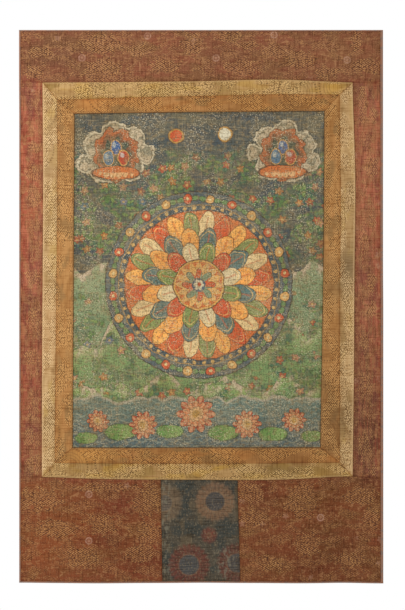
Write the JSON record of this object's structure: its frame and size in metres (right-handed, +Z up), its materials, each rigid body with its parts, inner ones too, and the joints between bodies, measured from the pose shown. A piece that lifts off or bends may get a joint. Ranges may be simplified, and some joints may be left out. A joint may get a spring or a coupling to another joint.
{
  "type": "painted mandala hanging in a brocade mount",
  "caption": "Flat cloth hanging: a painted mandala inside two mitred gold silk borders, sewn into a red brocade mount with a dark door panel at the foot.",
  "frame": {"origin": "middle of the top edge, where the hanging is held", "axes": "+Z up along the hanging's height, +X to the viewer's right, -Y out of the painted face"},
  "size_m": [0.728, 0.0135, 1.106],
  "materials": {
    "painted_cotton": "worn matt paint on sized cotton",
    "orange_gold_silk": "worn patterned silk",
    "pale_gold_silk": "worn patterned silk",
    "red_brocade": "faded brocade with gold-coloured weft",
    "door_silk": "worn figured silk",
    "edge_binding": "plain rubbed cotton strip"
  },
  "bodies": {
    "root": {"painting": "painted_cotton", "inner_border_top": "orange_gold_silk", "inner_border_bottom": "orange_gold_silk", "inner_border_left": "orange_gold_silk", "inner_border_right": "orange_gold_silk", "outer_border_top": "pale_gold_silk", "outer_border_bottom": "pale_gold_silk", "outer_border_left": "pale_gold_silk", "outer_border_right": "pale_gold_silk", "heading_panel": "red_brocade", "side_panel_left": "red_brocade", "side_panel_right": "red_brocade", "foot_panel_left": "red_brocade", "foot_panel_right": "red_brocade", "door_panel": "door_silk", "edge_binding_top": "edge_binding", "edge_binding_bottom": "edge_binding", "edge_binding_left": "edge_binding", "edge_binding_right": "edge_binding"}
  },
  "joints": []
}
